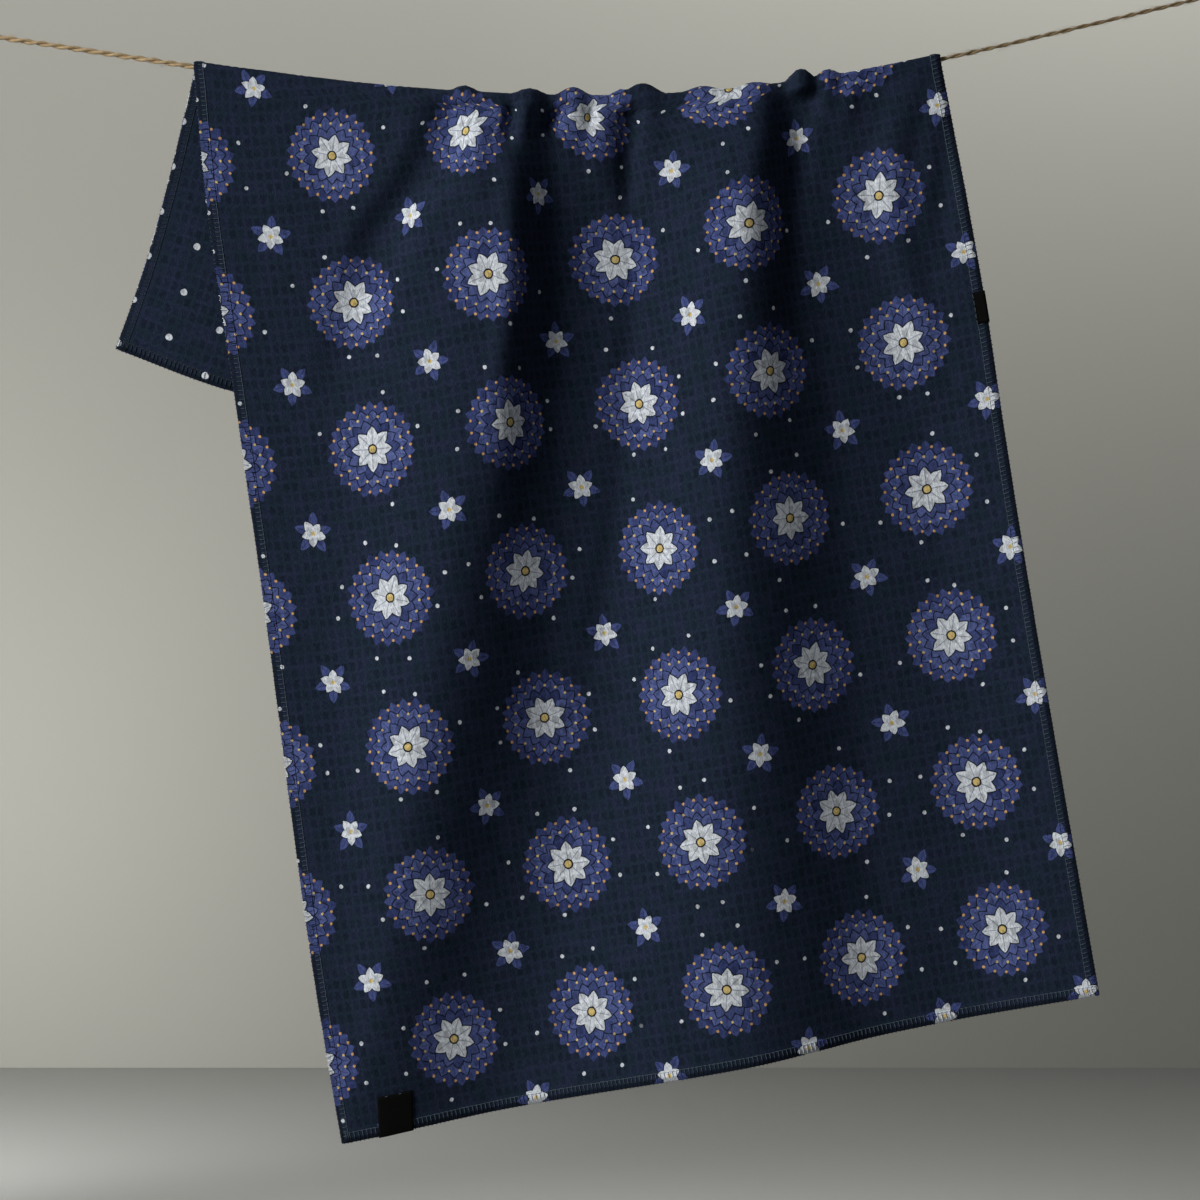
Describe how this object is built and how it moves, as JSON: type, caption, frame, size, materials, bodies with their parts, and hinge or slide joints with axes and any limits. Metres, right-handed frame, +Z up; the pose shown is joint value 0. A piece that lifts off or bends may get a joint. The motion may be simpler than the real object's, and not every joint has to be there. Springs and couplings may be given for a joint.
{
  "type": "tea towel on twine line",
  "caption": "Waffle-weave tea towel hung askew over a taut twine line, with a long front flap, a short back flap, gathers on the line and small folded labels.",
  "frame": {"origin": "inside the bend of the line's left eye, where a hook holds it", "axes": "+X along the line to the right as seen from the front, +Z up, and the front flap faces -Y"},
  "size_m": [0.7229, 0.0704, 0.6491],
  "materials": {
    "towel_cloth": "matte waffle microfibre, printed",
    "label_ribbon": "smooth woven ribbon",
    "jute_twine": "dry twisted jute fibre"
  },
  "bodies": {
    "root": {"towel": "towel_cloth", "hem_label": "label_ribbon", "edge_label": "label_ribbon", "twine_line": "jute_twine", "line_eye_left": "jute_twine", "line_eye_right": "jute_twine"}
  },
  "joints": []
}
